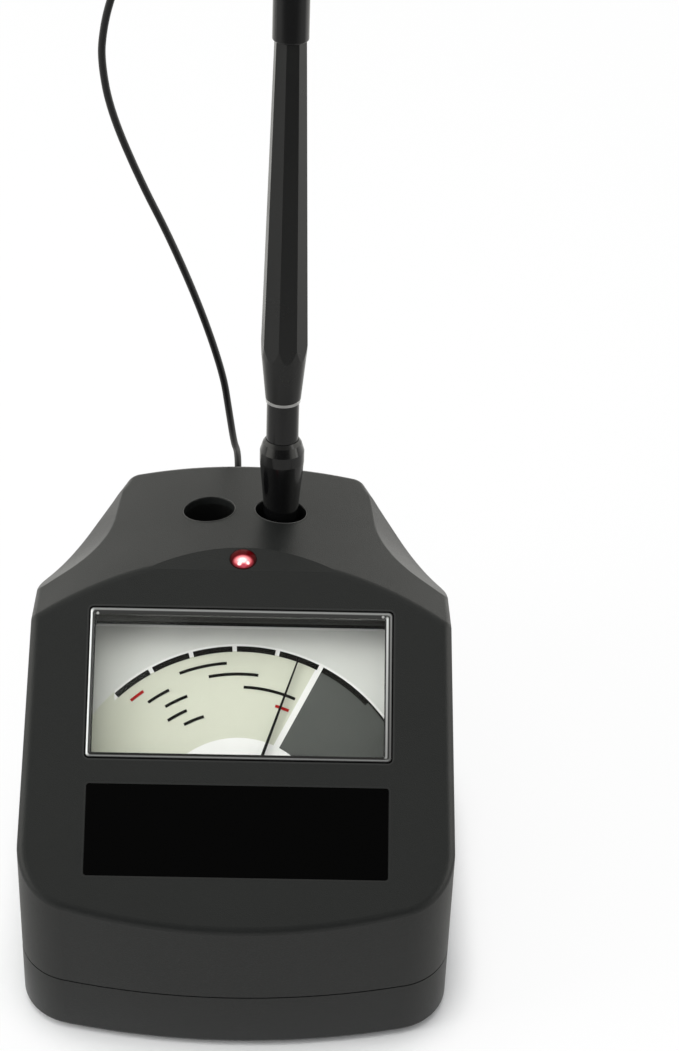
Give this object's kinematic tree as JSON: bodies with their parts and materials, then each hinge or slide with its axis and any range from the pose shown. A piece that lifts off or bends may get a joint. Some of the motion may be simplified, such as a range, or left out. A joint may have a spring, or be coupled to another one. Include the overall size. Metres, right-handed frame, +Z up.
{
  "type": "diamond tester",
  "caption": "Desk gem tester: a wedge housing with a needle meter under a clear window, and a corded pen probe that stands in a well in its deck.",
  "frame": {"origin": "on the desk, under the middle of the whole standing part without its cord", "axes": "+Z up, +X to the user's right, -Y towards the user"},
  "size_m": [0.112, 0.1702, 0.2922],
  "materials": {
    "housing_plastic": "fine-grained moulded dark grey",
    "base_plastic": "fine-grained moulded dark grey",
    "panel_black": "smooth black strip",
    "lens_clear": "clear moulded, polished bevel",
    "case_grey": "satin grey",
    "dial_print": "pale printed dial",
    "needle_black": "thin painted pointer",
    "steel": "bright steel",
    "brass": "turned brass",
    "copper_coil": "enamelled copper winding",
    "magnet_iron": "ground magnet and soft iron",
    "jewel": "polished bearing jewel",
    "well_black": "black moulding",
    "disc_metal": "lapped metal test disc",
    "disc_glass": "polished glass test disc",
    "light_red": "lit red dome",
    "board_green": "circuit board with green mask",
    "chip_black": "moulded components",
    "can_metal": "capacitor cans",
    "cell_wrap": "plain wrapped cells",
    "wire_black": "insulated wire",
    "rubber_black": "soft black rubber",
    "cord_black": "thin smooth black cord",
    "probe_gloss": "polished black moulding",
    "probe_grey": "satin dark barrel",
    "probe_metal": "bright plated ring",
    "tip_copper": "copper contact tip"
  },
  "bodies": {
    "housing": {"top_cover": "housing_plastic", "bottom_cover": "base_plastic", "rubber_feet": "rubber_black", "case_screws": "steel", "battery_cells": "cell_wrap", "battery_contacts": "steel", "circuit_board": "board_green", "board_screws": "steel", "board_chips": "chip_black", "board_capacitors": "can_metal", "supply_relay": "chip_black", "setting_trimmer": "case_grey", "power_socket": "chip_black", "switch_body": "case_grey", "name_panel": "panel_black", "lens": "lens_clear", "meter_case": "case_grey", "meter_screws": "steel", "dial_plate": "dial_print", "magnet_ring": "magnet_iron", "field_core": "magnet_iron", "movement_bridge": "brass", "lower_bearing": "jewel", "hairspring": "brass", "well_block": "well_black", "well_screws": "steel", "metal_disc": "disc_metal", "glass_disc": "disc_glass", "ready_light": "light_red", "light_holder": "well_black", "light_wires": "wire_black", "meter_wires": "wire_black", "cord_gland": "rubber_black", "inner_cord": "cord_black", "probe_cord": "cord_black"},
    "battery_door": {"battery_door": "base_plastic"},
    "power_switch": {"switch_knob": "chip_black"},
    "needle": {"needle": "needle_black", "needle_staff": "steel", "moving_coil": "copper_coil"},
    "probe": {"probe_nose": "probe_gloss", "probe_neck": "probe_gloss", "neck_ring": "probe_metal", "probe_barrel": "probe_grey", "probe_sleeve": "probe_gloss", "tail_boot": "rubber_black", "probe_strip": "board_green", "tip_spring": "steel"},
    "probe_tip": {"probe_tip": "tip_copper", "tip_plunger": "brass"}
  },
  "joints": [
    {"name": "probe_lift", "type": "slide", "parent": "housing", "child": "probe", "axis": [0, 0.2192, 0.9757], "range_m": [0, 0.025], "deforming": ["probe_cord"]},
    {"name": "tip_press", "type": "slide", "parent": "probe", "child": "probe_tip", "axis": [0, 0.2192, 0.9757], "range_m": [0, 0.0015], "stiffness_N_per_m": 200, "springref_m": -0.0005, "deforming": ["tip_spring"]},
    {"name": "needle_swing", "type": "hinge", "parent": "housing", "child": "needle", "pos_m": [0, -0.04577, 0.05406], "axis": [0, -0.5299, 0.848], "range_deg": [-26, 66.5], "stiffness_Nm_per_rad": 0.002, "deforming": ["hairspring"]},
    {"name": "switch_slide", "type": "slide", "parent": "housing", "child": "power_switch", "axis": [1, 0, 0], "range_m": [0, 0.003]},
    {"name": "door_slide", "type": "slide", "parent": "housing", "child": "battery_door", "axis": [0, 1, 0], "range_m": [0, 0.06]}
  ]
}
